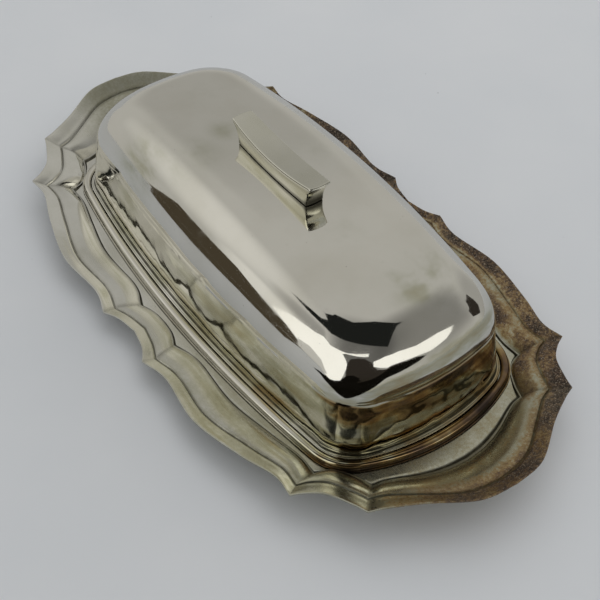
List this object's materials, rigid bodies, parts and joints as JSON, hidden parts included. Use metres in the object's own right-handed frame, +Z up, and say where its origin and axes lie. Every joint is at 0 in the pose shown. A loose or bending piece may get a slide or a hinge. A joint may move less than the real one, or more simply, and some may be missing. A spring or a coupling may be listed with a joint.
{
  "type": "covered butter dish",
  "caption": "Silver-plated covered butter dish: oblong scalloped tray, domed lift-off lid with a bar handle, and a loose glass liner.",
  "frame": {"origin": "on the table, under the middle of the tray's flat base", "axes": "+X along the dish's length, +Y across it, +Z up towards the lid's handle"},
  "size_m": [0.2108, 0.1102, 0.0508],
  "materials": {
    "tray_silver": "polished silver plate, tarnished brown along one end and side",
    "lid_silver": "polished silver plate with a light haze and fine scratches",
    "bead_silver": "polished silver plate, a little darker",
    "handle_silver": "cast and polished silver plate, dull on top",
    "screw_steel": "plain",
    "washer_brass": "plain",
    "liner_glass": "clear pressed glass"
  },
  "bodies": {
    "base": {"tray": "tray_silver"},
    "lid": {"lid_shell": "lid_silver", "lid_bead": "bead_silver", "handle": "handle_silver", "screw_left": "screw_steel", "screw_right": "screw_steel", "washer_left": "washer_brass", "washer_right": "washer_brass"},
    "liner": {"glass_liner": "liner_glass"}
  },
  "joints": [
    {"name": "lid_lift", "type": "slide", "parent": "base", "child": "lid", "axis": [0, 0, 1], "range_m": [0, 0.08]},
    {"name": "liner_lift", "type": "slide", "parent": "base", "child": "liner", "axis": [0, 0, 1], "range_m": [0, 0.02]}
  ]
}
